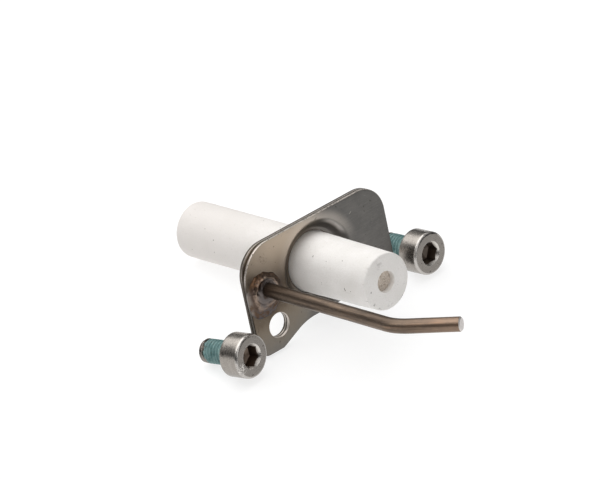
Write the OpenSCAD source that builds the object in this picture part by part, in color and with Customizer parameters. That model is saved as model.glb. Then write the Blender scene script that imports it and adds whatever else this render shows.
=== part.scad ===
// Ignition electrode: a ceramic insulator held by its collar between two
// dished flange plates, with an earth rod welded to the front plate and two
// loose socket head screws. X runs forwards along the insulator, Z is up,
// and the origin is on the insulator's axis in the flange's seating face.

/* [Insulator] */
// Outside diameter of the ceramic
insulator_d = 11.8; // [11.4:0.1:12]
// Diameter where the ceramic leaves the front plate
shoulder_d = 12.6; // [12:0.1:12.8]
// Length in front of the seating face
insulator_front = 21.6; // [15:0.1:40]
// Length behind the seating face
insulator_rear = 36.4; // [32:0.1:60]
// Diameter of the hole in the front face
tip_hole_d = 4.5; // [4:0.1:6]
// Depth from the front face down to the cement
tip_recess = 1.2; // [0.4:0.1:3]
// Diameter of the collar gripped by the plates
collar_d = 15; // [14:0.1:15.4]

/* [Conductor] */
// Diameter of the spark conductor
conductor_d = 3; // [2:0.1:3.2]
// Diameter of the socket in the rear end
socket_d = 7.2; // [6:0.1:8]
// Depth of that socket
socket_depth = 14; // [10:0.1:20]
// Diameter of the terminal pin
terminal_d = 4; // [3.8:0.1:4.5]

/* [Flange] */
// Thickness of each plate
sheet = 0.8; // [0.6:0.05:0.9]
// Half of the flange's width
half_width = 19.1; // [18.8:0.1:24]
// Height of the straight top edge above the axis
top_edge = 10.2; // [10:0.1:14]
// Depth of the ears below the axis
ear_depth = 13; // [12.8:0.1:15]
// Depth of the edge between the ears
arch_depth = 10; // [9.8:0.1:10.4]
// Distance between the two screw holes
hole_spacing = 26; // [25:0.1:28]
// Depth of the screw holes below the axis
hole_drop = 7.9; // [7.5:0.1:8.5]
// Diameter of the screw holes
hole_d = 5.1; // [4.6:0.1:5.6]
// Depth of the dish round the insulator in the front plate
dish = 2; // [1.6:0.1:2.2]

/* [Earth rod] */
// Diameter of the rod
rod_d = 3; // [2:0.1:3.5]
// Distance of the rod to the side of the insulator's axis
rod_side = 14.4; // [13:0.1:15]
// Height of the rod above the axis
rod_up = 0.7; // [0:0.1:2]
// Length of the straight part, measured from the seating face
rod_straight = 37; // [20:0.1:60]
// Angle of the bend towards the insulator's axis
rod_angle = 30; // [5:1:60]
// Length of the rod after the bend
rod_tip = 10.9; // [4:0.1:20]

/* [Screws] */
// Thread diameter
screw_d = 5; // [4:0.1:5]
// Threaded length below the head
screw_length = 8; // [8:0.5:16]
// Head diameter
head_d = 9; // [8:0.1:9.2]
// Head height
head_h = 4.8; // [4:0.1:5]
// Hexagon socket, across flats
hex_flats = 4; // [3:0.5:4]
// Depth of the hexagon socket
hex_depth = 2.8; // [2:0.1:3]

/* [Hidden] */
$fn = 96;
gap = 0.05;                              // clearance between fixed pieces
insulator_r = insulator_d / 2;
collar_r = collar_d / 2;
collar_w = 1;                            // width of the collar along X
front_back = sheet + gap;                // rear surface of the front plate
front_face = front_back + sheet;         // front surface of the flange
pocket_front = front_back - dish;        // dished part of the front plate
pocket_back = pocket_front - collar_w - 2 * gap;
dish_r = 9.2;                            // where each dish leaves the flat
pocket_r = 9.75;
shoulder_r = shoulder_d / 2;
grip_r = shoulder_r + 0.1;               // hole in both plates
tip_x = insulator_front;
rear_x = -insulator_rear;
tip_hole_depth = 6;
bore_r = conductor_d / 2 + 0.1;
seal_w = 3;                              // cement seal in the socket
socket_floor = rear_x + socket_depth;
plug_front = tip_x - tip_recess;
plug_back = tip_x - tip_hole_depth;
conductor_front = plug_front - 0.8;
terminal_front = socket_floor - 0.6;
terminal_back = rear_x + 2.4;
crimp = 5;                               // conductor inside the terminal
root_r = terminal_d / 2 + 0.4;           // terminal inside the seal
ear_r = 2.5;
ear_inner_r = 1.5;
ear_inner_y = 13.2;                      // centre of the ear's inner corner
ear_slope = 24;
arch_r = 12;
corner_front = 7.5;                      // left top corner, front plate
corner_rear = 6.5;                       // left top corner, rear plate
corner_right = 6.2;
bend_r = 10;
weld_r = 4.6;
weld_h = 1.5;
left_screw_at = [1.4, -25.2, -8.8];
right_screw_at = [0.1, 25.7, -8.85];
left_turn = [2.8, 7.5];                  // each loose screw's rise and turn
right_turn = [0, 3];

// A profile of [distance from the axis, position along X], turned about X.
module turned(profile) {
    rotate([0, 90, 0]) rotate_extrude() polygon(profile);
}

// A round bar along X from one position to another.
module bar(r, from, to) {
    translate([from, 0, 0]) rotate([0, 90, 0]) cylinder(r = r, h = to - from);
}

// A flat shape drawn in Y and Z, from one X position to another.
module slab(from, to) {
    translate([from, 0, 0]) rotate([90, 0, 90]) linear_extrude(to - from)
        children();
}

// Half of the outline below the top corner, for side -1 or 1.
module ear_half(side, corner) {
    low = [-ear_inner_y, ear_inner_r - ear_depth]
        + ear_inner_r * [sin(ear_slope), -cos(ear_slope)];
    run = (arch_r * cos(ear_slope) - arch_r - arch_depth - low[1])
        / sin(ear_slope);
    high = low + run * [cos(ear_slope), sin(ear_slope)];
    arch = high + arch_r * [sin(ear_slope), -cos(ear_slope)];
    mirror([side > 0 ? 1 : 0, 0]) {
        difference() {
            polygon([[0, top_edge], [corner - half_width, top_edge],
                [-half_width, top_edge - corner],
                [-half_width, ear_r - ear_depth],
                [ear_r - half_width, -ear_depth],
                [-ear_inner_y, -ear_depth], low, high,
                [arch[0], -arch_depth], [0, -arch_depth]]);
            translate(arch) circle(arch_r);
        }
        intersection() {
            translate([corner - half_width, top_edge - corner]) circle(corner);
            translate([-half_width - 1, top_edge - corner])
                square([corner + 1, corner + 1]);
        }
        translate([ear_r - half_width, ear_r - ear_depth]) circle(ear_r);
        translate([-ear_inner_y, ear_inner_r - ear_depth]) circle(ear_inner_r);
    }
}

module flange_outline(left_corner, dished) {
    difference() {
        union() {
            ear_half(-1, left_corner);
            ear_half(1, corner_right);
        }
        for (side = [-1, 1])
            translate([side * hole_spacing / 2, -hole_drop])
                circle(d = hole_d);
        circle(dished + 0.2);
    }
}

// Sheet that steps back from the flat at x = flat to the seat at x = seat.
module dished_ring(flat, seat, seat_r, flat_r) {
    wall = 0.3;
    turned([[grip_r, seat], [seat_r, seat], [flat_r, flat],
        [flat_r + 0.3, flat], [flat_r + 0.3, flat + sheet],
        [flat_r - wall, flat + sheet], [seat_r - wall, seat + sheet],
        [grip_r, seat + sheet]]);
}

module ceramic_insulator() {
    edge = 0.5;
    color([0.93, 0.92, 0.9]) difference() {
        turned([[0, rear_x], [insulator_r - edge, rear_x],
            [insulator_r, rear_x + edge],
            [insulator_r, pocket_back + gap], [collar_r, pocket_back + gap],
            [collar_r, pocket_front - gap], [shoulder_r, pocket_front - gap],
            [insulator_r, tip_x - 0.3], [insulator_r - 0.3, tip_x],
            [0, tip_x]]);
        bar(tip_hole_d / 2, plug_back, tip_x + 1);
        bar(bore_r, socket_floor - 1, plug_back + 1);
        bar(socket_d / 2, rear_x - 1, socket_floor);
    }
}

module front_cement() {
    r = tip_hole_d / 2 - gap / 2;
    inner = conductor_d / 2 + gap / 2;
    color([0.85, 0.8, 0.68]) turned([[inner, plug_back], [r, plug_back],
        [r, plug_front], [0, plug_front], [0, conductor_front + gap],
        [inner, conductor_front + gap]]);
}

module spark_conductor() {
    color([0.55, 0.55, 0.56])
        bar(conductor_d / 2, terminal_front - crimp, conductor_front);
}

module rear_terminal() {
    r = terminal_d / 2;
    inner = conductor_d / 2 + gap / 2;
    shoulder = socket_floor - seal_w;
    color([0.75, 0.72, 0.6]) turned([[0, terminal_back],
        [r - 0.6, terminal_back], [r, terminal_back + 1.2],
        [r, shoulder], [root_r, shoulder],
        [root_r, terminal_front], [inner, terminal_front],
        [inner, terminal_front - crimp - gap],
        [0, terminal_front - crimp - gap]]);
}

module rear_seal() {
    color([0.85, 0.8, 0.68]) turned([
        [root_r + gap / 2, socket_floor - seal_w],
        [socket_d / 2 - gap / 2, socket_floor - seal_w],
        [socket_d / 2 - gap / 2, socket_floor - gap],
        [root_r + gap / 2, socket_floor - gap]]);
}

module front_plate() {
    color([0.42, 0.41, 0.4]) union() {
        slab(front_back, front_face) flange_outline(corner_front, dish_r);
        dished_ring(front_back, pocket_front, dish_r - 0.9, dish_r);
    }
}

module rear_plate() {
    color([0.4, 0.39, 0.38]) union() {
        slab(0, sheet) flange_outline(corner_rear, pocket_r);
        dished_ring(0, pocket_back - sheet, pocket_r - 1.3, pocket_r);
    }
}

// The bend is a hair slimmer than the straight parts and runs into both.
module earth_rod() {
    r = rod_d / 2;
    start = front_face + gap;
    lap = 0.4;                           // degrees
    color([0.36, 0.28, 0.2]) translate([0, -rod_side, rod_up]) union() {
        bar(r, start, rod_straight);
        translate([rod_straight, bend_r, 0]) rotate([0, 0, -90 - lap])
            rotate_extrude(angle = rod_angle + 2 * lap)
                translate([bend_r, 0]) circle(r - 0.02);
        translate([rod_straight + bend_r * sin(rod_angle),
            bend_r * (1 - cos(rod_angle)), 0]) rotate([0, 0, rod_angle])
            turned([[0, 0], [r, 0], [r, rod_tip - 0.3],
                [r - 0.3, rod_tip], [0, rod_tip]]);
    }
}

module weld_bead() {
    start = front_face + gap;
    inner = rod_d / 2 + gap / 2;
    color([0.38, 0.34, 0.34]) union() {
        translate([0, -rod_side, rod_up]) turned([[inner, start],
            [weld_r, start], [weld_r - 0.5, start + 0.35],
            [weld_r - 1.7, start + 0.7], [inner + 0.6, start + weld_h],
            [inner, start + weld_h]]);
        translate([0, -rod_side - 0.6, rod_up - 4.4]) turned([[0, start],
            [2.1, start], [1.4, start + 0.45], [0, start + 0.6]]);
    }
}

// A socket head screw on its own X axis: bearing face at 0, head forwards.
module screw_body() {
    r = screw_d / 2;
    hr = head_d / 2;
    fillet = 0.25;
    root = r - 0.35;                     // under the thread-locking patch
    hex_r = hex_flats / 2 / cos(30);
    color([0.5, 0.49, 0.48]) difference() {
        turned([[0, -screw_length], [r - 0.6, -screw_length],
            [r, 0.6 - screw_length], [r, 1.6 - screw_length],
            [root, 1.6 - screw_length], [root, -1.1], [r, -1.1], [r, 0],
            [hr - fillet, 0], [hr, fillet], [hr, head_h - 0.5],
            [hr - 0.15, head_h - 0.15], [hr - 0.5, head_h], [0, head_h]]);
        translate([head_h - hex_depth, 0, 0]) rotate([0, 90, 0])
            cylinder(r = hex_r, h = hex_depth + 1, $fn = 6);
        turned([[0, head_h - 0.35], [hex_r - 0.15, head_h - 0.35],
            [hex_r + 0.35, head_h + 0.15], [0, head_h + 0.15]]);
    }
}

module patch() {
    r = screw_d / 2;
    color([0.35, 0.66, 0.64]) turned([
        [r - 0.33, 1.62 - screw_length], [r, 1.62 - screw_length],
        [r, -1.12], [r - 0.33, -1.12]]);
}

// Lays a screw beside the flange, its head on the plane that the ears and
// the rear end of the insulator stand on.
module laid(at, turn) {
    translate(at) rotate([0, -turn[0], turn[1]]) children();
}

module left_screw() { laid(left_screw_at, left_turn) screw_body(); }
module left_threadlock() { laid(left_screw_at, left_turn) patch(); }
module right_screw() { laid(right_screw_at, right_turn) screw_body(); }
module right_threadlock() { laid(right_screw_at, right_turn) patch(); }

ceramic_insulator();
front_cement();
spark_conductor();
rear_terminal();
rear_seal();
front_plate();
rear_plate();
earth_rod();
weld_bead();
left_screw();
left_threadlock();
right_screw();
right_threadlock();
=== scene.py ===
import math

import bmesh
import bpy
import numpy as np
from mathutils import Matrix, Vector
from mathutils.geometry import delaunay_2d_cdt


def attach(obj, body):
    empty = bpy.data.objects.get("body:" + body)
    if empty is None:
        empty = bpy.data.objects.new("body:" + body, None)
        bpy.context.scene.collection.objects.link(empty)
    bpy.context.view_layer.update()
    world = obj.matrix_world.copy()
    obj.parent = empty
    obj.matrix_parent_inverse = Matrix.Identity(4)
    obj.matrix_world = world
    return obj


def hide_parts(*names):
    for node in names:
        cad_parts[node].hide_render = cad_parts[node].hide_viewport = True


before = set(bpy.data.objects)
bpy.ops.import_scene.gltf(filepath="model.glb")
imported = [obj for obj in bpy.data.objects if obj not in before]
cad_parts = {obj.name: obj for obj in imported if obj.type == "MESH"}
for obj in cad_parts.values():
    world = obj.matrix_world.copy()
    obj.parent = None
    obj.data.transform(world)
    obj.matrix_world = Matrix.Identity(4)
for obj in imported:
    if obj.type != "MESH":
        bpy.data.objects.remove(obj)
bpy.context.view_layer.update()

mm = 0.001  # every shape below is worked out in millimetres
turn = 2 * math.pi
print("frame loaded with", len(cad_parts), "nodes")


# ---- shader maths

# A socket that Python's operators work on; each one adds a Math node.
class Value:
    def __init__(self, finish, socket):
        self.finish = finish
        self.socket = socket

    def maths(self, operation, *others):
        return self.finish.add("ShaderNodeMath", {"operation": operation},
                               dict(enumerate((self, *others))))

    def __add__(self, other):
        return self.maths("ADD", other)

    def __sub__(self, other):
        return self.maths("SUBTRACT", other)

    def __mul__(self, other):
        return self.maths("MULTIPLY", other)

    def __rsub__(self, other):
        return self.finish.add("ShaderNodeMath", {"operation": "SUBTRACT"},
                               {0: other, 1: self})

    __radd__ = __add__
    __rmul__ = __mul__

    # 0 below low, 1 above high, and an S curve between them
    def between(self, low, high):
        return self.finish.add(
            "ShaderNodeMapRange", {"interpolation_type": "SMOOTHSTEP"},
            {0: self, 1: low, 2: high})

    # the first colour where this is 0, the second where it is 1
    def blend(self, first, second):
        return self.finish.add("ShaderNodeMix", {"data_type": "RGBA"},
                               {0: self, 6: first, 7: second}, 2)


# One material: a Principled shader and the nodes that feed it.
class Finish:
    def __init__(self, name, **constants):
        self.material = bpy.data.materials.new(name)
        self.material.use_nodes = True
        self.tree = self.material.node_tree
        self.shader = self.tree.nodes["Principled BSDF"]
        for key, value in constants.items():
            self.shader.inputs[key.replace("_", " ")].default_value = value

    # settings come first, ramp stops among them, then values and links
    def add(self, kind, settings=None, inputs=None, output=0):
        node = self.tree.nodes.new(kind)
        for key, value in (settings or {}).items():
            if key == "stops":
                ramp = node.color_ramp
                while len(ramp.elements) < len(value):
                    ramp.elements.new(1)
                for stop, (place, colour) in zip(ramp.elements, value):
                    stop.position = place
                    stop.color = colour
            else:
                setattr(node, key, value)
        for key, value in (inputs or {}).items():
            self.feed(node.inputs[key], value)
        return Value(self, node.outputs[output])

    def feed(self, socket, value):
        if isinstance(value, Value):
            self.tree.links.new(value.socket, socket)
        else:
            socket.default_value = value

    # object coordinates in millimetres, or a piece's own marked ones
    def place(self, mark=None):
        if mark:
            return self.add("ShaderNodeAttribute", {"attribute_name": mark},
                            output=1)
        spot = self.add("ShaderNodeTexCoord", output=3)
        return self.add("ShaderNodeMapping", inputs={0: spot, 3: [1000] * 3})

    def mark(self, name):
        return self.add("ShaderNodeAttribute", {"attribute_name": name},
                        output=2)

    def axes(self, spot):
        first = self.add("ShaderNodeSeparateXYZ", inputs={0: spot})
        return [Value(self, s) for s in first.socket.node.outputs]

    def stretched(self, spot, scale):
        return self.add("ShaderNodeMapping", inputs={0: spot, 3: scale})

    # soft noise with features about size millimetres across
    def noise(self, spot, size, detail=2.0, rough=0.5):
        return self.add("ShaderNodeTexNoise", inputs={
            "Vector": spot, "Scale": 1 / size, "Detail": detail,
            "Roughness": rough})

    # distance from a centre line along X, in the plane of Y and Z
    def reach(self, spot, y, z):
        flat = self.add("ShaderNodeVectorMath", {"operation": "MULTIPLY"},
                        {0: spot, 1: (0, 1, 1)})
        return self.add("ShaderNodeVectorMath", {"operation": "DISTANCE"},
                        {0: flat, 1: (0, y, z)}, 1)

    def ramp(self, value, *stops):
        return self.add("ShaderNodeValToRGB", {"stops": stops}, {0: value})

    # height in millimetres
    def relief(self, height):
        return self.add("ShaderNodeBump", inputs={
            "Height": height, "Distance": mm, "Strength": 1.0})

    def finish(self, **links):
        for key, value in links.items():
            self.feed(self.shader.inputs[key.replace("_", " ")], value)
        return self.material


# a display colour of 0 to 255 as the shader's linear one
def tone(red, green, blue):
    part = np.array([red, green, blue]) / 255
    part = np.where(part < 0.0405, part / 12.92, ((part + 0.055) / 1.055) ** 2.4)
    return (*part.tolist(), 1.0)


def grey(level):
    return (level, level, level, 1.0)


# ---- shapes

# S curve from 0 at low to 1 at high.
def easing(value, low, high):
    t = np.clip((value - low) / (high - low), 0, 1)
    return t * t * (3 - 2 * t)


# Gentle unevenness: a sum of sine waves in random directions, each with a
# wavelength near size, scaled to stay mostly between -1 and 1.
def uneven(points, size, seed, waves=14):
    rng = np.random.default_rng(seed)
    heading = rng.normal(size=(waves, 3))
    heading /= np.linalg.norm(heading, axis=1)[:, None]
    pace = turn / (size * rng.uniform(0.7, 1.6, waves))
    phase = rng.uniform(0, turn, waves)
    wave = np.sin(points @ (heading * pace[:, None]).T + phase)
    return wave.sum(-1) / math.sqrt(2 * waves)


# Quads between neighbours of a grid of points stored row by row; either
# direction may close on itself.
def gridFaces(rows, columns, closedRows=False, closedColumns=True, first=0):
    r, c = np.meshgrid(np.arange(rows if closedRows else rows - 1),
                       np.arange(columns if closedColumns else columns - 1),
                       indexing="ij")
    below, beside = (r + 1) % rows, (c + 1) % columns
    quads = np.stack([r * columns + c, r * columns + beside,
                      below * columns + beside, below * columns + c], -1)
    return (quads.reshape(-1, 4) + first).tolist()


# A profile through corners (x, r, rounding): every corner becomes an arc
# that touches both of its straight sides, which are cut into short steps.
def rounded(corners, step, closed=True, arcSteps=5):
    path = np.array([c[:2] for c in corners], float)
    radii = [c[2] for c in corners]
    count = len(path)
    line = []
    for i, (here, radius) in enumerate(zip(path, radii)):
        if radius == 0 or (not closed and i in (0, count - 1)):
            line.append(here[None])
            continue
        to = [path[i - 1] - here, path[(i + 1) % count] - here]
        to = [v / np.linalg.norm(v) for v in to]
        half = math.acos(np.clip(to[0] @ to[1], -1, 1)) / 2
        middle = to[0] + to[1]
        centre = here + middle / np.linalg.norm(middle) * radius / math.sin(half)
        start, end = (here + v * radius / math.tan(half) - centre for v in to)
        sweep = math.pi - 2 * half
        t = np.linspace(0, 1, arcSteps)[:, None]
        arc = (np.sin((1 - t) * sweep) * start + np.sin(t * sweep) * end)
        line.append(centre + arc / math.sin(sweep))
    line = np.concatenate(line)
    after = np.roll(line, -1, axis=0) if closed else line[1:]
    dense = []
    for a, b in zip(line, after):
        cuts = max(1, math.ceil(np.linalg.norm(b - a) / step))
        dense.append(a + (b - a) * (np.arange(cuts) / cuts)[:, None])
    if not closed:
        dense.append(line[-1:])
    return np.concatenate(dense)


# A profile turned about the X axis: x stays, and (r, angle) becomes
# y = r cos(angle), z = r sin(angle).
def turned(profile, around):
    angle = np.arange(around) / around * turn
    x, r = profile[:, :1], profile[:, 1:]
    return np.stack([x + 0 * angle, r * np.cos(angle), r * np.sin(angle)], -1)


# Puts points, given in millimetres, and faces into a new piece. Doubles at
# poles and seams are merged and the normals are turned outwards after that.
def addPiece(name, points, faces, finish, replaced, body="electrode",
             marks=None, sharp=35):
    mesh = bpy.data.meshes.new(name)
    mesh.from_pydata((points.reshape(-1, 3) * mm).tolist(), [], faces)
    for mark, values in (marks or {}).items():
        vector = values.ndim > 1 and values.shape[-1] == 3
        layer = mesh.attributes.new(
            mark, "FLOAT_VECTOR" if vector else "FLOAT", "POINT")
        layer.data.foreach_set("vector" if vector else "value",
                               values.ravel().astype(float))
    work = bmesh.new()
    work.from_mesh(mesh)
    bmesh.ops.remove_doubles(work, verts=work.verts, dist=0.001 * mm)
    bmesh.ops.recalc_face_normals(work, faces=work.faces)
    work.to_mesh(mesh)
    work.free()
    mesh.shade_smooth()
    mesh.set_sharp_from_angle(angle=math.radians(sharp))
    mesh.materials.append(finish)
    piece = bpy.data.objects.new(name, mesh)
    bpy.context.scene.collection.objects.link(piece)
    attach(piece, body)
    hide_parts(replaced)
    print("made", name, len(mesh.vertices), "points")
    return piece


# ---- the ceramic insulator

ceramic = {"radius": 5.9, "shoulder": 6.3, "front": 21.6, "rear": -36.4,
           "tipHole": 2.25, "tipFloor": 15.6, "bore": 1.6,
           "socket": 3.6, "socketFloor": -22.4,
           "collarRadius": 7.5, "collar": (-2.2, -1.2),
           "frontRounding": 0.32, "rearRounding": 0.6, "around": 220}


def aluminaFinish():
    f = Finish("aluminaPorous", Roughness=0.62, Specular_IOR_Level=0.35)
    spot = f.place()
    x, y, z = f.axes(spot)
    cloud = f.noise(spot, 5.0, 3)
    grain = f.noise(spot, 0.28, 3, 0.6)
    pores = f.noise(spot, 0.42, 1).between(0.7, 0.78)
    specks = f.noise(spot, 0.8, 1).between(0.775, 0.8)
    clay = cloud.between(0.3, 0.7).blend(tone(238, 235, 231), tone(246, 243, 240))
    clay = (grain.between(0.35, 0.75) * 0.35).blend(clay, tone(226, 221, 215))
    # painted shade: the body behind the flange is greyer, standing in for the lesser
    # light that reaches it
    rear = 1 - x.between(-30, 6)
    clay = (rear * 0.7).blend(clay, tone(227, 221, 216))
    clay = (pores * 0.3).blend(clay, tone(196, 188, 178))
    clay = (specks * 0.75).blend(clay, tone(122, 112, 102))
    # handling marks round the front rim, and long scuffs on the side
    rim = x.between(20.2, 21.4) * f.reach(spot, 0, 0).between(4.4, 5.7)
    streak = f.noise(f.stretched(spot, (0.35, 1, 1)), 1.1, 3, 0.7)
    scuff = rim * streak.between(0.55, 0.7) * (0.75 - z.between(-3, 5) * 0.6)
    drag = f.noise(f.stretched(spot, (0.12, 1, 1)), 0.7, 2, 0.6)
    scuff = scuff + drag.between(0.7, 0.8) * 0.14
    face = f.reach(spot, -1.0, 3.9)
    smudge = x.between(21.4, 21.55) * (1 - face.between(0.5, 1.1))
    smudge = smudge * f.noise(spot, 0.9, 3, 0.7).between(0.4, 0.7)
    clay = (scuff + smudge * 0.35).maths("MINIMUM", 1.0).blend(
        clay, tone(128, 122, 116))
    height = grain * 0.035 + pores * -0.05 + f.noise(spot, 1.6, 2) * 0.05
    return f.finish(Base_Color=clay, Normal=f.relief(height),
                    Roughness=0.55 + grain * 0.25)


def makeInsulator(c):
    corners = [
        (c["front"], c["tipHole"], 0.14), (c["front"], c["radius"], c["frontRounding"]),
        (c["collar"][1], c["shoulder"], 0), (c["collar"][1], c["collarRadius"], 0.3),
        (c["collar"][0], c["collarRadius"], 0.3), (c["collar"][0], c["radius"], 0),
        (c["rear"], c["radius"], c["rearRounding"]), (c["rear"], c["socket"], 0.25),
        (c["socketFloor"], c["socket"], 0.4), (c["socketFloor"], c["bore"], 0),
        (c["tipFloor"], c["bore"], 0), (c["tipFloor"], c["tipHole"], 0)]
    profile = rounded(corners, 0.6)
    points = turned(profile, c["around"])
    # the pressed body is a few hundredths out of round, wavy at its rims
    wobble = 0.022 * uneven(points, 9, 3) + 0.012 * uneven(points, 1.8, 4) - 0.03
    points[..., 1:] *= (1 + wobble / np.maximum(profile[:, 1], 1)[:, None])[..., None]
    addPiece("ceramicInsulator", points,
             gridFaces(len(profile), c["around"], True), aluminaFinish(),
             "ceramic_insulator")


makeInsulator(ceramic)

# ---- cement, terminal and conductor

cement = {"face": 20.4, "back": 15.6, "radius": 2.225, "core": 1.525,
          "coreEnd": 19.65, "grain": 0.09}
seal = {"face": -25.4, "back": -22.45, "radius": 3.575, "core": 2.425}
terminal = {"end": -34.0, "taper": 1.2, "radius": 2.0, "root": 2.4,
            "shoulder": -25.4, "front": -23.0, "bore": 1.525, "crimp": -28.05}


def cementFinish():
    f = Finish("cementGrainy", Roughness=0.9, Specular_IOR_Level=0.2)
    spot = f.place()
    grain = f.noise(spot, 0.35, 4, 0.7)
    bits = f.noise(spot, 0.5, 1).between(0.6, 0.7)
    paste = f.ramp(grain, (0.3, tone(178, 163, 146)), (0.5, tone(214, 202, 190)),
                   (0.7, tone(232, 224, 214)))
    paste = (bits * 0.6).blend(paste, tone(160, 140, 118))
    return f.finish(Base_Color=paste, Roughness=0.75 + grain * 0.25,
                    Normal=f.relief(grain * 0.14 + bits * 0.05))


# A lathed plug whose outer face is pushed in and out by fine unevenness.
def makeCement(name, profile, faceAt, finish, replaced, depth):
    points = turned(profile, 96)
    near = np.abs(points[..., 0] - faceAt) < 0.3
    lift = uneven(points, 0.7, 21) + 0.7 * uneven(points, 0.33, 22)
    points[..., 0] += near * depth * (lift - 1.2)
    addPiece(name, points, gridFaces(len(profile), 96, True), finish,
             replaced)


cementPaste = cementFinish()
makeCement("tipCement", rounded([
    (cement["back"], cement["core"], 0), (cement["back"], cement["radius"], 0),
    (cement["face"], cement["radius"], 0.1), (cement["face"], 0, 0),
    (cement["coreEnd"], 0, 0), (cement["coreEnd"], cement["core"], 0)], 0.16),
    cement["face"], cementPaste, "front_cement", cement["grain"])
makeCement("rearSealRing", rounded([
    (seal["face"], seal["core"], 0), (seal["face"], seal["radius"], 0),
    (seal["back"], seal["radius"], 0), (seal["back"], seal["core"], 0)], 0.16),
    seal["face"], cementPaste, "rear_seal", -0.05)


def terminalFinish():
    f = Finish("terminalPlated", Metallic=1.0)
    spot = f.place()
    rings = f.noise(f.stretched(spot, (7, 0.3, 0.3)), 1.0, 3, 0.6)
    dull = f.noise(spot, 1.7, 3)
    metal = rings.blend(tone(176, 168, 148), tone(214, 208, 190))
    metal = (dull.between(0.5, 0.7) * 0.5).blend(metal, tone(132, 120, 98))
    return f.finish(Base_Color=metal, Roughness=0.2 + dull * 0.3,
                    Normal=f.relief(rings * 0.01))


def makeTerminal(t):
    profile = rounded([
        (t["end"], 0, 0), (t["end"], t["radius"] - 0.6, 0.3),
        (t["end"] + t["taper"], t["radius"], 0.5),
        (t["shoulder"], t["radius"], 0), (t["shoulder"], t["root"], 0.1),
        (t["front"], t["root"], 0), (t["front"], t["bore"], 0),
        (t["crimp"], t["bore"], 0), (t["crimp"], 0, 0)], 0.4)
    addPiece("rearTerminalPin", turned(profile, 72),
             gridFaces(len(profile), 72, True), terminalFinish(),
             "rear_terminal")


def conductorFinish():
    f = Finish("conductorHeatproof", Metallic=1.0)
    spot = f.place()
    drawn = f.noise(f.stretched(spot, (0.1, 2, 2)), 1.0, 3, 0.6)
    metal = drawn.blend(tone(96, 92, 88), tone(158, 152, 146))
    return f.finish(Base_Color=metal, Roughness=0.3 + drawn * 0.25,
                    Normal=f.relief(drawn * 0.02))


makeTerminal(terminal)
# the conductor inside keeps the CAD's own shape
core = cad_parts["spark_conductor"]
coreFinish = conductorFinish()
for held in core.material_slots:
    held.material = coreFinish

# ---- the two flange plates

plate = {"sheet": 0.8, "halfWidth": 19.1, "top": 10.2, "earDepth": 13.0,
         "archDepth": 10.0, "earRadius": 2.5, "earInnerRadius": 1.5,
         "earInnerY": 13.2, "earSlope": 24, "archRadius": 12.0,
         "rightCorner": 6.2, "holeRadius": 2.55, "hole": (13.0, -7.9),
         "grip": 6.4, "roll": 0.13, "backRoll": 0.07}
frontPlate = {"face": 1.65, "leftCorner": 7.5, "dish": (6.9, 9.4, 2.0),
              "backShift": 0.25}
rearPlate = {"face": 0.8, "leftCorner": 6.5, "dish": (8.05, 9.5, 3.05),
             "backShift": 0.3}
weldAt = (-14.4, 0.7)  # the rod's centre in Y and Z
pepperedAt = (-13.6, 7.0)  # two small resistance marks, in Y and Z
nickAt = (10.3, 6.7)


# An arc of points from one angle to another, in degrees.
def arc(centre, radius, start, end, step=0.3):
    count = max(3, math.ceil(abs(math.radians(end - start)) * radius / step))
    angle = np.radians(np.linspace(start, end, count + 1))
    return np.stack([centre[0] + radius * np.cos(angle),
                     centre[1] + radius * np.sin(angle)], -1)


# Half of the outline in Y and Z from the middle of the top edge down the
# left side to the middle of the arch: arcs joined by straight lines.
def halfOutline(p, corner):
    slope = math.radians(p["earSlope"])
    along = np.array([math.cos(slope), math.sin(slope)])
    across = np.array([math.sin(slope), -math.cos(slope)])
    inner = np.array([-p["earInnerY"], p["earInnerRadius"] - p["earDepth"]])
    low = inner + p["earInnerRadius"] * across
    run = (p["archRadius"] * (along[0] - 1) - p["archDepth"] - low[1]) / along[1]
    archCentre = low + run * along + p["archRadius"] * across
    w, r = p["halfWidth"], p["earRadius"]
    return np.concatenate([
        [[0, p["top"]]],
        arc((corner - w, p["top"] - corner), corner, 90, 180),
        arc((r - w, r - p["earDepth"]), r, 180, 270),
        arc(inner, p["earInnerRadius"], 270, 270 + p["earSlope"]),
        arc(archCentre, p["archRadius"], 90 + p["earSlope"], 90)])


# Cuts the straight stretches of a closed line into short steps.
def even(line, step):
    after = np.roll(line, -1, axis=0)
    dense = []
    for a, b in zip(line, after):
        length = np.linalg.norm(b - a)
        if length > 1e-6:
            cuts = max(1, math.ceil(length / step))
            dense.append(a + (b - a) * (np.arange(cuts) / cuts)[:, None])
    return np.concatenate(dense)


# The edges of one plate: its outline, the two screw holes and the grip
# hole, all with the sheet on their left.
def plateLoops(p, leftCorner):
    left = halfOutline(p, leftCorner)
    right = halfOutline(p, p["rightCorner"])[::-1] * (-1, 1)
    outline = even(np.concatenate([left, right[1:-1]]), 0.5)
    y, z = p["hole"]
    loops = [outline]
    for centre, radius in (((-y, z), p["holeRadius"]), ((y, z), p["holeRadius"]),
                           ((0, 0), p["grip"])):
        loops.append(arc(centre, radius, 360, 0, 0.2)[:-1])
    return loops


# Which points lie in the sheet: an odd number of edges to their right.
def inSheet(points, loops):
    a = np.concatenate(loops)
    b = np.concatenate([np.roll(loop, -1, axis=0) for loop in loops])
    y, z = points[:, :1], points[:, 1:]
    spans = (a[:, 1] > z) != (b[:, 1] > z)
    rise = np.where(b[:, 1] == a[:, 1], 1, b[:, 1] - a[:, 1])
    cross = a[:, 0] + (z - a[:, 1]) / rise * (b[:, 0] - a[:, 0])
    return (spans & (y < cross)).sum(1) % 2 == 1


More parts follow.
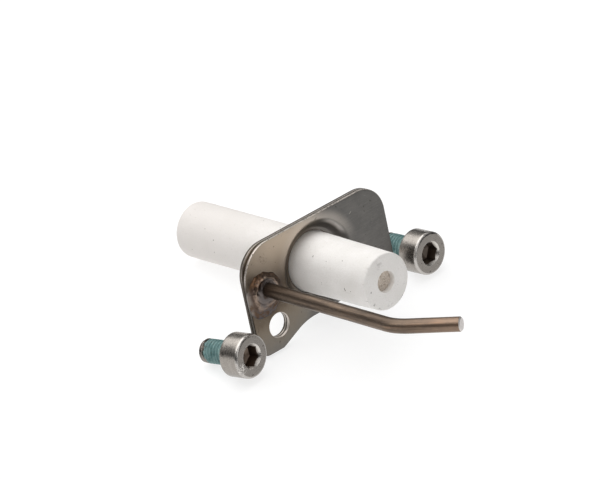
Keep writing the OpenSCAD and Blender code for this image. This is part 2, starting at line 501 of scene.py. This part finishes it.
# A plate is a front and a back sheet over one triangulated outline, joined
# by an edge profile carried along every loop. The front lies at x = face
# less the dish, an S curve of the distance from the axis; the back is the
# same a sheet's thickness behind, its S curve a little further out.
def makePlate(name, p, own, finish, replaced):
    loops = plateLoops(p, own["leftCorner"])
    outward = []
    for loop in loops:
        ahead = np.roll(loop, -1, axis=0) - np.roll(loop, 1, axis=0)
        ahead /= np.linalg.norm(ahead, axis=1)[:, None]
        outward.append(np.stack([ahead[:, 1], -ahead[:, 0]], -1))
    inset = [loop - p["roll"] * n for loop, n in zip(loops, outward)]
    edgePoints = np.concatenate(inset)

    grid = np.stack(np.meshgrid(np.arange(-20, 20, 0.7), np.arange(-13.5, 12, 0.7)),
                    -1).reshape(-1, 2)
    grid = grid[np.hypot(*grid.T) > 10.5]
    ring, angle = np.meshgrid(np.arange(6.7, 10.4, 0.15),
                              np.arange(180) / 180 * turn)
    rings = np.stack([ring * np.cos(angle), ring * np.sin(angle)], -1).reshape(-1, 2)
    inner = np.concatenate([grid, rings])
    inner = inner[inSheet(inner, inset)]
    gaps = np.linalg.norm(inner[:, None] - edgePoints[None], axis=-1).min(1)
    inner = inner[gaps > 0.2]
    flat = np.concatenate([edgePoints, inner])

    links, first = [], 0
    for loop in inset:
        links += [(first + i, first + (i + 1) % len(loop)) for i in range(len(loop))]
        first += len(loop)
    spots, _, faces, came, _, _ = delaunay_2d_cdt(
        [Vector(v) for v in flat], links, [], 0, 1e-6)
    spots = np.array([tuple(v) for v in spots])
    faces = np.array([f for f in faces if len(f) == 3])
    faces = faces[inSheet(spots[faces].mean(1), inset)]
    placeOf = {old: new for new, olds in enumerate(came) for old in olds}

    low, high, depth = own["dish"]
    def front(yz):
        return own["face"] - depth * (1 - easing(np.hypot(*yz.T), low, high))
    def back(yz):
        far = np.hypot(*yz.T) - own["backShift"]
        return own["face"] - p["sheet"] - depth * (1 - easing(far, low, high))
    count = len(spots)
    sheets = [np.column_stack([front(spots), spots]),
              np.column_stack([back(spots), spots])]
    marks = [np.zeros(count), np.zeros(count)]
    made = [(faces[:, ::-1]).tolist(), (faces + count).tolist()]

    # the edge: a rolled front corner, a wall with a torn rear half, and a
    # small rear rounding, as (outward, share of the thickness)
    corner = np.radians([25, 50, 75, 90])
    roll, backRoll, sheet = p["roll"], p["backRoll"], p["sheet"]
    out = [*(roll * (np.sin(corner) - 1)), 0, 0, -0.03, -0.03,
           *(-0.03 - backRoll * (1 - np.sin(corner[::-1][1:])))]
    down = [*(roll * (1 - np.cos(corner))), 0.25, 0.44, 0.5, 0.62,
            *(sheet - backRoll * (1 - np.cos(corner[::-1][1:])))]
    first, start = 0, 2 * count
    for loop, n in zip(loops, outward):
        size = len(loop)
        top = [placeOf[first + i] for i in range(size)]
        wall = []
        for shift, fall in zip(out, down):
            yz = loop + shift * n
            share = fall / sheet
            x = front(yz) * (1 - share) + back(yz) * share
            wall.append(np.column_stack([x, yz]))
            marks.append(np.full(size, max(0.1, share)))
        sheets += wall
        rows = [top] + [list(range(start + k * size, start + (k + 1) * size))
                        for k in range(len(wall))] + [[t + count for t in top]]
        for above, below in zip(rows, rows[1:]):
            made.append([(above[i], above[(i + 1) % size],
                          below[(i + 1) % size], below[i]) for i in range(size)])
        start += size * len(wall)
        first += size
    return addPiece(name, np.concatenate(sheets), sum(made, []), finish,
                    replaced, marks={"rim": np.concatenate(marks)},
                    sharp=50)


# Rolled steel sheet, its heat tints spread round the weld. The drawn dish carries
# painted light and shade, and the cut edges are bright in places, partly a painted
# highlight, and torn in others.
def plateFinish(name, edgeShine, tornFrom):
    f = Finish(name, Metallic=1.0)
    spot = f.place()
    x, y, z = f.axes(spot)
    rim = f.mark("rim")
    rolled = f.noise(f.stretched(spot, (1, 0.16, 2.2)), 0.6, 4, 0.65)
    cloud = f.noise(spot, 4.5, 4, 0.6)
    fine = f.noise(spot, 0.4, 3, 0.65)
    steel = f.ramp(cloud, (0.3, tone(98, 96, 94)), (0.52, tone(108, 106, 103)),
                   (0.75, tone(118, 115, 112)))
    steel = (rolled.between(0.35, 0.7) * 0.3).blend(steel, tone(84, 82, 80))
    steel = (fine.between(0.55, 0.7) * 0.3).blend(steel, tone(128, 124, 120))
    # tints by the distance from the weld, wandering with the cloud
    heat = f.reach(spot, *weldAt) + (cloud - 0.5) * 6 + (fine - 0.5) * 1.5
    tint = f.ramp(heat * 0.05, (0.2, tone(78, 68, 62)), (0.26, tone(92, 80, 68)),
                  (0.36, tone(116, 104, 90)), (0.5, tone(130, 120, 107)),
                  (0.64, tone(136, 129, 119)), (0.85, tone(118, 114, 110)))
    steel = ((1 - heat.between(9, 17)) * 0.95).blend(steel, tint)
    # paler towards the top left, a painted sheen where the light from above falls, and
    # a painted reflection over the shoulder of the dish, with painted shade inside it,
    # a dark line of painted shade at the left and a painted highlight streak at the
    # right
    far = f.reach(spot, 0, 0)
    inland = 0.55 + y.between(-18, -11) * 0.45
    # painted sheen: paler towards the top left, where the light from above falls on the
    # plate
    topLeftSheen = z.between(0, 9) * (1 - y.between(-4, 5)) * inland
    steel = (topLeftSheen * 0.66).blend(steel, tone(225, 208, 188))
    # painted reflection of the bright room on the upper shoulder of the dish
    shoulder = far.between(8.5, 9.4) * (1 - far.between(9.5, 11.5))
    steel = (shoulder * z.between(0, 8) * 0.35).blend(steel, tone(214, 204, 194))
    # painted shade inside the dish, next to the ceramic
    inside = 1 - far.between(8.2, 8.9)
    steel = (inside * 0.4).blend(steel, tone(124, 118, 112))
    # a dark line of painted shade at the dish's inner rim, at the left
    creaseShade = far.between(8.15, 8.3) * (1 - far.between(8.35, 8.6))
    creaseShade = creaseShade * (1 - y.between(-5, 1))
    steel = (creaseShade * 0.5).blend(steel, tone(58, 52, 48))
    # painted highlight: a bright streak where the dish's right wall catches the light
    streak = far.between(8.0, 8.5) * (1 - far.between(8.6, 9.1))
    streak = streak * y.between(2.5, 5) * z.between(2.5, 5)
    steel = (streak * 0.85).blend(steel, tone(236, 230, 224))
    # dull spots and fine scratches
    spots = f.noise(spot, 0.9, 2).between(0.68, 0.74)
    steel = (spots * 0.35).blend(steel, tone(66, 58, 52))
    scratch = f.noise(f.stretched(spot, (1, 0.35, 5)), 0.5, 1).between(0.72, 0.76)
    steel = (scratch * 0.4).blend(steel, tone(150, 147, 144))
    # two small resistance marks, one a peppered ring and one a short nick
    ring = f.reach(spot, *pepperedAt)
    pit = (1 - ring.between(0.9, 1.5)) * fine.between(0.52, 0.6)
    beyond, above = y - nickAt[0], z - nickAt[1]
    run = (beyond * 0.85 + above * 0.53).maths("ABSOLUTE")
    side = (above * 0.85 - beyond * 0.53).maths("ABSOLUTE")
    nick = (1 - run.between(0.25, 0.45)) * (1 - side.between(0.03, 0.12))
    steel = (pit * 0.25).blend(steel, tone(58, 48, 42))
    steel = (nick * 0.45).blend(steel, tone(196, 190, 184))
    # sheared edge: bright where cut, dark where torn; the bright cut band, kept to the
    # upper edges and round the left screw hole, is burnish and also a painted highlight
    hole = 1 - f.reach(spot, -plate["hole"][0], plate["hole"][1]).between(2.9, 3.4)
    upper = z.between(2.5, 5.5) * y.between(-19, -12).maths("MAXIMUM", edgeShine)
    burnishAndHighlight = (upper * fine.between(0.3, 0.5)).maths("MAXIMUM", hole) * edgeShine
    wall = rim.between(0.0, 0.1)
    steel = (wall * 0.8).blend(steel, tone(72, 66, 60))
    cut = wall * (1 - rim.between(tornFrom, tornFrom + 0.12))
    steel = (cut * burnishAndHighlight).blend(steel, tone(214, 205, 196))
    shear = f.noise(f.stretched(spot, (0.3, 3, 3)), 0.5, 2) * wall
    height = rolled * 0.012 + fine * 0.012 + shear * 0.05 - pit * 0.02
    height = height - scratch * 0.01 + cloud * 0.05 - nick * 0.05
    return f.finish(Base_Color=steel, Normal=f.relief(height),
                    Roughness=0.3 + cloud * 0.14 + spots * 0.2 + fine * 0.06)


makePlate("frontFlangePlate", plate, frontPlate,
          plateFinish("flangeSteel", 0.95, 0.6), "front_plate")
makePlate("rearFlangePlate", plate, rearPlate,
          plateFinish("flangeSteelRear", 0.6, 0.35), "rear_plate")

# ---- the weld

weld = {"rod": 1.46, "base": 1.64, "rows": 44, "around": 240,
        "reach": {0: 3.8, 40: 3.6, 70: 3.6, 100: 3.9, 135: 4.3, 165: 4.7,
                  195: 5.3, 215: 6.0, 240: 6.1, 270: 5.5, 300: 4.9, 330: 4.2,
                  345: 3.9, 360: 3.8},
        "edge": -19.3}


# The bead lies round the rod. With t from 0 at the rod to 1 at its border,
# its height is a low crown (1 - t^4), a fillet (1 - t)^4 up the rod, a ridge
# at the middle, and rings of ripples; its border wanders with the angle.
# Where it passes the plate's left edge it bends down over it.
def makeWeld(w):
    angle = np.arange(w["around"]) / w["around"] * turn
    given = sorted(w["reach"])
    border = np.interp(np.degrees(angle), given, [w["reach"][g] for g in given])
    circle = np.stack([np.cos(angle), np.sin(angle), 0 * angle], -1)
    border += 0.16 * uneven(circle * 4, 3.2, 31) + 0.07 * uneven(circle * 4, 1.1, 32)
    t = np.linspace(0, 1, w["rows"])[:, None]
    far = w["rod"] + t * (border - w["rod"])
    y = weldAt[0] + far * np.cos(angle)
    z = weldAt[1] + far * np.sin(angle)
    where = np.stack([0 * y, y, z], -1)
    upper = easing(np.sin(angle), -0.5, 0.6)
    ridge = (0.12 + 0.3 * upper) * np.exp(-((t - 0.47) / 0.13) ** 2)
    height = 0.42 * (1 - t ** 4) + 0.3 * (1 - t) ** 4 + ridge
    ripple = np.sin(far * 8.5 + 2.2 * uneven(where, 3, 33))
    height += (1 - t) * t * (0.13 * ripple + 0.35 * uneven(where, 1.3, 34))
    height = np.maximum(height, 0) * (1 - t ** 12)
    over = np.maximum(0, w["edge"] + 0.12 - y)
    x = w["base"] + height * (1 - 0.4 * easing(over, 0, 0.5)) - 1.25 * over
    x = np.maximum(x, 0.25)
    y = y + over - 0.32 * np.tanh(over / 0.25) * (1 - t ** 10)
    skin = np.stack([x, y, z], -1)
    below = skin[[-1, 0]].copy()
    below[0, :, 0] = np.minimum(below[0, :, 0], w["base"]) - 0.05
    below[1, :, 0] = w["base"] - 0.05
    below[:, :, 1] = np.maximum(below[:, :, 1], w["edge"] + 0.05)
    points = np.concatenate([skin, below])
    run = np.concatenate([t + 0 * angle, [0 * angle + 1.05], [0 * angle]])
    addPiece("weldBead", points, gridFaces(len(points), w["around"], True),
             weldFinish(), "weld_bead", marks={"run": run}, sharp=60)


def weldFinish():
    f = Finish("weldTinted", Metallic=1.0)
    spot = f.place()
    x, y, z = f.axes(spot)
    run = f.mark("run")
    cloud = f.noise(spot, 2.2, 3, 0.6)
    fine = f.noise(spot, 0.4, 3, 0.6)
    wander = run + (cloud - 0.5) * 0.5 + (fine - 0.5) * 0.12
    # the last stop darkens the bead's border: a painted shadow along its edge
    metal = f.ramp(wander, (0.0, tone(66, 56, 50)), (0.1, tone(98, 92, 90)),
                   (0.34, tone(112, 104, 100)), (0.5, tone(146, 128, 114)),
                   (0.62, tone(92, 78, 70)), (0.78, tone(92, 76, 64)),
                   (0.9, tone(102, 82, 66)), (0.97, tone(52, 45, 41)))
    # orange patch at the upper left, purple and blue below, silver at the left
    patch = 1 - f.reach(spot, -16.6, 3.4).between(0.8, 2.2)
    metal = (patch * 0.5 * fine.between(0.3, 0.6)).blend(metal, tone(122, 88, 62))
    below = 1 - z.between(-4.5, -1.0)
    mottle = f.noise(spot, 1.1, 3, 0.6)
    under = f.ramp(mottle, (0.32, tone(66, 52, 50)), (0.45, tone(78, 80, 86)),
                   (0.56, tone(84, 66, 54)), (0.7, tone(56, 44, 38)))
    metal = (below * 0.75).blend(metal, under)
    silver = (1 - y.between(-19.2, -18.2)) * mottle.between(0.3, 0.55)
    metal = (silver * 0.35).blend(metal, tone(186, 182, 178))
    return f.finish(Base_Color=metal, Roughness=0.26 + fine * 0.2,
                    Normal=f.relief(fine * 0.05 + cloud * 0.12))


makeWeld(weld)

# ---- the earth rod

rod = {"radius": 1.5, "start": 1.7, "straight": 37.0, "bendRadius": 10.0,
       "angle": 30, "tip": 10.9, "chamfer": 0.28, "around": 72}


# A circle carried along a path: straight on, round an arc of the bend
# radius, and straight to the tip, where it narrows to a chamfer and a face.
def makeRod(r):
    bend = math.radians(r["angle"])
    steps = [np.arange(r["start"], r["straight"], 0.5)]
    sweep = np.linspace(0, bend, 20)
    tipRun = np.concatenate([np.arange(0.5, r["tip"] - r["chamfer"], 0.5),
                             [r["tip"] - r["chamfer"] - 0.02]])
    cap = np.array([0.0, 0.12, r["chamfer"]])
    along = np.concatenate([steps[0] - r["straight"], sweep * r["bendRadius"],
                            bend * r["bendRadius"] + tipRun])
    length = bend * r["bendRadius"] + r["tip"]
    along = np.concatenate([along, length - r["chamfer"] + cap, [length] * 6])
    radius = np.full(len(along), r["radius"])
    radius[-8:-6] = r["radius"] - cap[1:]
    radius[-9] = r["radius"]
    radius[-6:] = r["radius"] - r["chamfer"]
    radius[-6:] *= np.array([0.97, 0.8, 0.6, 0.4, 0.2, 0])
    heading = np.clip(along / r["bendRadius"], 0, bend)
    x = np.where(along < 0, r["straight"] + along,
                 r["straight"] + r["bendRadius"] * np.sin(heading))
    y = r["bendRadius"] * (1 - np.cos(heading))
    rest = np.maximum(0, along - bend * r["bendRadius"])
    centre = np.stack([x + rest * math.cos(bend), weldAt[0] + y + rest * math.sin(bend),
                       np.full(len(x), weldAt[1])], -1)
    around = np.arange(r["around"]) / r["around"] * turn
    side = np.stack([-np.sin(heading), np.cos(heading), 0 * heading], -1)
    up = np.array([0, 0, 1.0])
    ring = (side[:, None] * np.cos(around)[:, None] + up * np.sin(around)[:, None])
    reachAlong, flat = along[:, None], 0 * along[:, None]
    own = np.stack([reachAlong + 0 * around,
                    r["radius"] * np.cos(around) + flat,
                    r["radius"] * np.sin(around) + flat], -1)
    size = radius[:, None] + 0.008 * uneven(own, 4, 41) - 0.022
    size *= radius[:, None] > 0
    points = centre[:, None] + ring * size[..., None]
    start = np.repeat(centre[:1, None], r["around"], 1)
    points = np.concatenate([start, points])
    own = np.concatenate([own[:1], own])
    cut = np.zeros(own.shape[:2])
    cut[-8:] = 1
    addPiece("earthRod", points, gridFaces(len(points), r["around"]), rodFinish(length),
             "earth_rod", marks={"own": own, "cut": cut})


def rodFinish(length):
    f = Finish("rodScaled", Metallic=1.0)
    own = f.place("own")
    along = f.axes(own)[0]
    cut = f.mark("cut")
    lines = f.noise(f.stretched(own, (0.05, 1, 1)), 0.5, 4, 0.65)
    broad = f.noise(f.stretched(own, (0.12, 1, 1)), 1.6, 3, 0.6)
    mottle = f.noise(own, 1.0, 4, 0.65)
    scale = f.ramp(lines, (0.3, tone(80, 69, 60)), (0.48, tone(108, 94, 82)),
                   (0.62, tone(128, 111, 96)), (0.78, tone(154, 134, 116)))
    scale = (mottle.between(0.45, 0.65) * 0.45).blend(scale, tone(94, 84, 78))
    copper = broad.between(0.55, 0.72) * along.between(-24, -4)
    scale = (copper * 0.45).blend(scale, tone(176, 136, 108))
    # darker and browner towards the weld, paler towards the tip
    root = 1 - along.between(-34, -14)
    scale = (root * 0.7).blend(scale, tone(78, 66, 56))
    end = along.between(length - 14, length)
    scale = (end * 0.45).blend(scale, tone(162, 137, 118))
    fresh = cut.between(0.2, 0.6)
    saw = f.noise(f.stretched(own, (1, 5, 0.6)), 0.6, 3)
    scale = fresh.blend(scale, tone(214, 209, 206))
    height = lines * 0.02 + mottle * 0.015 + saw * fresh * 0.04
    return f.finish(Base_Color=scale, Normal=f.relief(height),
                    Roughness=0.32 + mottle * 0.18 + fresh * 0.1)


makeRod(rod)

# ---- the two loose screws

screw = {"head": 4.5, "headHeight": 4.8, "thread": 2.47, "threadDepth": 0.46,
         "pitch": 0.8, "length": 8.0, "flats": 4.0, "socketDepth": 2.8,
         "chamfer": 0.26, "bareTip": 1.6, "bareNeck": 1.45, "around": 180}
leftScrew = {"at": (1.4, -25.2, -8.8), "rise": 2.8, "turn": 7.5, "roll": 4,
             "seed": 51}
rightScrew = {"at": (0.1, 25.7, -8.85), "rise": 0, "turn": 3, "roll": 30,
              "seed": 61}


# Distance from the axis to the side of a hexagon, by angle.
def hexagon(angle, flats):
    part = (angle + turn / 12) % (turn / 6) - turn / 12
    return flats / 2 / np.cos(part)


# From the screw's own coordinates to its place beside the flange.
def laid(points, own):
    tilt = (Matrix.Rotation(math.radians(own["turn"]), 3, "Z")
            @ Matrix.Rotation(math.radians(-own["rise"]), 3, "Y"))
    return points @ np.array(tilt).T + own["at"]


# Distance of the thread's surface from the axis: a triangle wave of
# (x / pitch - angle / turn) below the crest, narrowed by the end's chamfer
# and fading into the neck under the head.
def threadRadius(x, angle, s):
    wave = (x / s["pitch"] - angle / turn) % 1
    groove = 1 - np.clip(np.abs(2 * wave - 1) * 1.5 - 0.2, 0, 1)
    end = 1.75 + (x + s["length"]) * 1.1
    neck = easing(x, -1.0, -0.6)
    r = s["thread"] - s["threadDepth"] * groove
    r = r * (1 - neck) + (s["thread"] - 0.22) * neck
    return np.minimum(r, end)


def makeScrew(name, s, own, finish, body, replaced):
    angle = np.arange(s["around"]) / s["around"] * turn
    roll = math.radians(own["roll"])
    zero = 0 * angle
    hexa = hexagon(angle - roll, s["flats"])
    corner = s["flats"] / math.sqrt(3)
    top, lip = s["headHeight"], corner + s["chamfer"]
    floor = top - s["socketDepth"]
    outer = rounded([(0, s["thread"] - 0.2, 0), (0, s["head"], 0.3),
                     (top, s["head"], 0.55), (top, lip, 0.06),
                     (top - 0.1, lip - 0.1, 0)],
                    0.35, closed=False)
    rows = [(x + zero, r + zero) for x, r in outer]
    # the socket: a cone down to the hexagon, its walls, a drilled floor
    cone = top - (lip - hexa)
    for part in (0.5, 1.0):
        rows.append((top - 0.1 + (cone - top + 0.1) * part,
                     lip - 0.1 + (hexa - lip + 0.1) * part))
    for part in (0.06, 0.3, 0.6, 0.97, 1.0):
        rows.append((cone + (floor - cone) * part, hexa * (1 - 0.015 * (part == 1))))
    for part in (0.8, 0.4, 0.0):
        rows.append((floor - 0.8 * (1 - part) + zero, hexa * part))
    rows = rows[::-1]
    steps = np.arange(-s["length"] + 0.04, -0.1, 0.055)[::-1]
    shank = [(x + zero, threadRadius(x, angle, s)) for x in steps]
    shank += [(-s["length"] + zero, 1.6 + zero), (-s["length"] + zero, 0.8 + zero),
              (-s["length"] + 0.02 + zero, zero)]
    rows += shank
    x = np.array([r[0] for r in rows])
    r = np.array([r[1] for r in rows])
    points = np.stack([x, r * np.cos(angle), r * np.sin(angle)], -1)
    # dents and burrs on the head's rim and face
    seen = (x > 0.1) & (r > lip)
    dent = uneven(points, 1.2, own["seed"]) + 0.6 * uneven(points, 0.5, own["seed"] + 1)
    points[..., 0] -= seen * (x > top - 0.4) * 0.02 * np.maximum(dent, 0)
    part = np.zeros(x.shape)
    part[(r < lip + 0.02) & (x > 0.1)] = 1
    mark = np.stack([x, r * np.cos(angle), r * np.sin(angle)], -1)
    addPiece(name, laid(points, own), gridFaces(len(rows), s["around"]), finish,
             replaced, body, marks={"own": mark, "socket": part}, sharp=28)


# The coat follows the thread, part filling its grooves: its radius is the
# thread's plus a film that thins to nothing, by unevenness, at both ends.
def makeCoat(name, s, own, finish, body, replaced):
    angle = np.arange(120) / 120 * turn
    x = np.arange(-s["length"] + s["bareTip"] - 0.35, -s["bareNeck"] + 0.3, 0.055)
    x = x[:, None] + 0 * angle
    bare = threadRadius(x, angle, s)
    where = np.stack([x, 2.4 * np.cos(angle) + 0 * x, 2.4 * np.sin(angle) + 0 * x], -1)
    rough = (uneven(where, 1.6, own["seed"] + 5)
             + 0.6 * uneven(where, 0.6, own["seed"] + 6))
    ends = (easing(x + 0.3 * rough, x.min() + 0.05, x.min() + 0.75)
            * easing(-x + 0.3 * rough, -x.max() + 0.05, -x.max() + 0.6))
    film = 0.17 * (s["thread"] - bare) + 0.035 + 0.02 * rough
    film = np.where(rough < -1.1, film - 0.1 * (-1.1 - rough), film)
    r = bare - 0.08 + (film + 0.08) * ends
    r = np.minimum(r, s["thread"] + 0.03)
    inner = np.minimum(r, bare) - 0.15
    skin = [np.stack([a, b * np.cos(angle), b * np.sin(angle)], -1)
            for a, b in ((x, r), (x[::-1], inner[::-1]))]
    points = np.concatenate(skin)
    addPiece(name, laid(points, own), gridFaces(len(points), 120, True), finish,
             replaced, body, marks={"own": points.copy()}, sharp=60)


def screwFinish(name, warm):
    f = Finish(name, Metallic=1.0)
    own = f.place("own")
    x, y, z = f.axes(own)
    socket = f.mark("socket")
    far = f.reach(own, 0, 0)
    cloud = f.noise(own, 2.2, 3, 0.6)
    fine = f.noise(own, 0.35, 3, 0.65)
    lathe = f.noise(f.stretched(own, (5, 0.5, 0.5)), 1.0, 3, 0.6)
    metal = f.ramp(cloud, (0.3, tone(148, 142, 136)), (0.7, tone(168, 162, 155)))
    metal = (lathe.between(0.4, 0.65) * 0.3).blend(metal, tone(138, 132, 126))
    metal = (fine.between(0.6, 0.72) * 0.45).blend(metal, tone(104, 96, 88))
    face = x.between(4.6, 4.78) * far.between(2.3, 2.6)
    metal = (face * 0.6).blend(metal, tone(112, 108, 104))
    # painted highlight round the rims; darker and browner deep in the socket
    rim = far.between(3.95, 4.2) * x.between(4.1, 4.5)
    metal = (rim * 0.6).blend(metal, tone(214, 210, 206))
    deep = socket.between(0.3, 0.7) * (1 - x.between(3.9, 4.45))
    metal = (deep * 0.65).blend(metal, tone(108, 86, 68) if warm else tone(98, 82, 70))
    bevel = socket.between(0.3, 0.7) * x.between(4.3, 4.6)
    metal = (bevel * 0.7).blend(metal, tone(226, 221, 215))
    shank = 1 - x.between(-0.3, 0.0)
    metal = (shank * 0.4).blend(metal, tone(120, 116, 112))
    nicks = f.noise(own, 0.8, 1).between(0.7, 0.74) * x.between(4.2, 4.7)
    metal = (nicks * 0.7).blend(metal, tone(60, 52, 46))
    height = fine * 0.02 + lathe * 0.012 - nicks * 0.06
    if warm:  # this head has a burr on the rim of its face
        burr = 1 - f.reach(own, -3.7, -1.2).between(0.6, 1.7)
        burr = burr * x.between(4.0, 4.4) * fine.between(0.46, 0.56)
        metal = (burr * 0.8).blend(metal, tone(228, 223, 217))
        height = height + burr * 0.09
    return f.finish(Base_Color=metal, Normal=f.relief(height),
                    Roughness=0.14 + cloud * 0.14 + fine * 0.12 + deep * 0.1)


def coatFinish():
    f = Finish("threadCoat", Specular_IOR_Level=0.4)
    own = f.place("own")
    grain = f.noise(own, 0.3, 4, 0.7)
    cloud = f.noise(own, 1.3, 3)
    paint = f.ramp(cloud, (0.3, tone(84, 118, 118)), (0.55, tone(116, 148, 147)),
                   (0.75, tone(148, 176, 173)))
    paint = (grain.between(0.5, 0.7) * 0.5).blend(paint, tone(176, 200, 196))
    dirt = f.noise(own, 0.6, 2).between(0.6, 0.72)
    paint = (dirt * 0.6).blend(paint, tone(76, 84, 82))
    return f.finish(Base_Color=paint, Roughness=0.55 + grain * 0.3,
                    Normal=f.relief(grain * 0.06))


coat = coatFinish()
for side, own, warm in (("left", leftScrew, True), ("right", rightScrew, False)):
    makeScrew(side + "SocketScrew", screw, own, screwFinish(side + "ScrewSteel", warm),
              side + "_screw_loose", side + "_screw")
    makeCoat(side + "ThreadCoat", screw, own, coat, side + "_screw_loose",
             side + "_threadlock")

# ---- floor, light and camera

studio = {"floorSize": 700, "floorTone": 0.3, "floorGlow": 0.75, "floorDrop": 13.35,
          "roomLow": (0.3, 0.035), "roomHigh": (0.7, 0.45),
          "camera": (659.66, -504.08, 362.42), "azimuth": -37.26,
          "elevation": 23.28, "roll": -12.06, "lens": 271.3}


# A square floor at the screws' lowest line under the flange, rising to the
# rear so that it passes just below the ceramic's rear rim. It glows a little.
def makeFloor(s):
    slope = (plate["earDepth"] - ceramic["radius"]) / -ceramic["rear"]
    along = np.linspace(-s["floorSize"], s["floorSize"], 41)
    x, y = np.meshgrid(along, along, indexing="ij")
    z = -s["floorDrop"] - slope * x
    mesh = bpy.data.meshes.new("studioFloor")
    mesh.from_pydata((np.stack([x, y, z], -1).reshape(-1, 3) * mm).tolist(), [],
                     [f[::-1] for f in gridFaces(41, 41, closedColumns=False)])
    f = Finish("floorPaper", Roughness=0.9, Specular_IOR_Level=0.1,
               Emission_Color=grey(1), Emission_Strength=s["floorGlow"])
    fibre = f.noise(f.place(), 3.0, 3)
    level = s["floorTone"]
    paper = fibre.blend(grey(level), grey(level * 1.02))
    mesh.materials.append(f.finish(Base_Color=paper))
    floor = bpy.data.objects.new("studioFloor", mesh)
    bpy.context.scene.collection.objects.link(floor)


def softLight(name, place, aim, size, power):
    light = bpy.data.lights.new(name, "AREA")
    light.shape = "RECTANGLE"
    light.size, light.size_y = size
    light.energy = power
    lamp = bpy.data.objects.new(name, light)
    lamp.location = Vector(place) * mm
    back = Vector(place) - Vector(aim)
    lamp.rotation_euler = back.to_track_quat("Z", "Y").to_euler()
    bpy.context.scene.collection.objects.link(lamp)


def makeCamera(s):
    az, el, roll = (math.radians(s[k]) for k in ("azimuth", "elevation", "roll"))
    back = Vector((math.cos(el) * math.cos(az), math.cos(el) * math.sin(az),
                   math.sin(el)))
    right = Vector((-math.sin(az), math.cos(az), 0))
    up = back.cross(right)
    across = right * math.cos(roll) + up * math.sin(roll)
    upright = up * math.cos(roll) - right * math.sin(roll)
    lens = bpy.data.cameras.new("studioCamera")
    lens.lens = s["lens"]
    lens.clip_end = 20
    camera = bpy.data.objects.new("studioCamera", lens)
    camera.matrix_world = (Matrix.Translation(Vector(s["camera"]) * mm)
                           @ Matrix((across, upright, back)).transposed().to_4x4())
    bpy.context.scene.collection.objects.link(camera)
    bpy.context.scene.camera = camera


makeFloor(studio)
# the room is dim at eye level and pale overhead
world = bpy.data.worlds.new("studioRoom")
world.use_nodes = True
room = world.node_tree
heading = room.nodes.new("ShaderNodeTexCoord")
parts = room.nodes.new("ShaderNodeSeparateXYZ")
shade = room.nodes.new("ShaderNodeValToRGB")
for stop, (place, level) in zip((shade.color_ramp.elements[0],
                                 shade.color_ramp.elements[1]),
                                (studio["roomLow"], studio["roomHigh"])):
    stop.position = place
    stop.color = grey(level)
room.links.new(heading.outputs["Generated"], parts.inputs[0])
room.links.new(parts.outputs["Z"], shade.inputs[0])
room.links.new(shade.outputs["Color"], room.nodes["Background"].inputs["Color"])
bpy.context.scene.world = world
softLight("overheadSoftbox", (-80, -60, 460), (0, 0, 0), (0.8, 0.7), 3.0)
softLight("frontSoftbox", (460, -60, 160), (0, 0, 0), (0.3, 0.3), 0.35)
makeCamera(studio)
bpy.context.scene.view_settings.view_transform = "Standard"
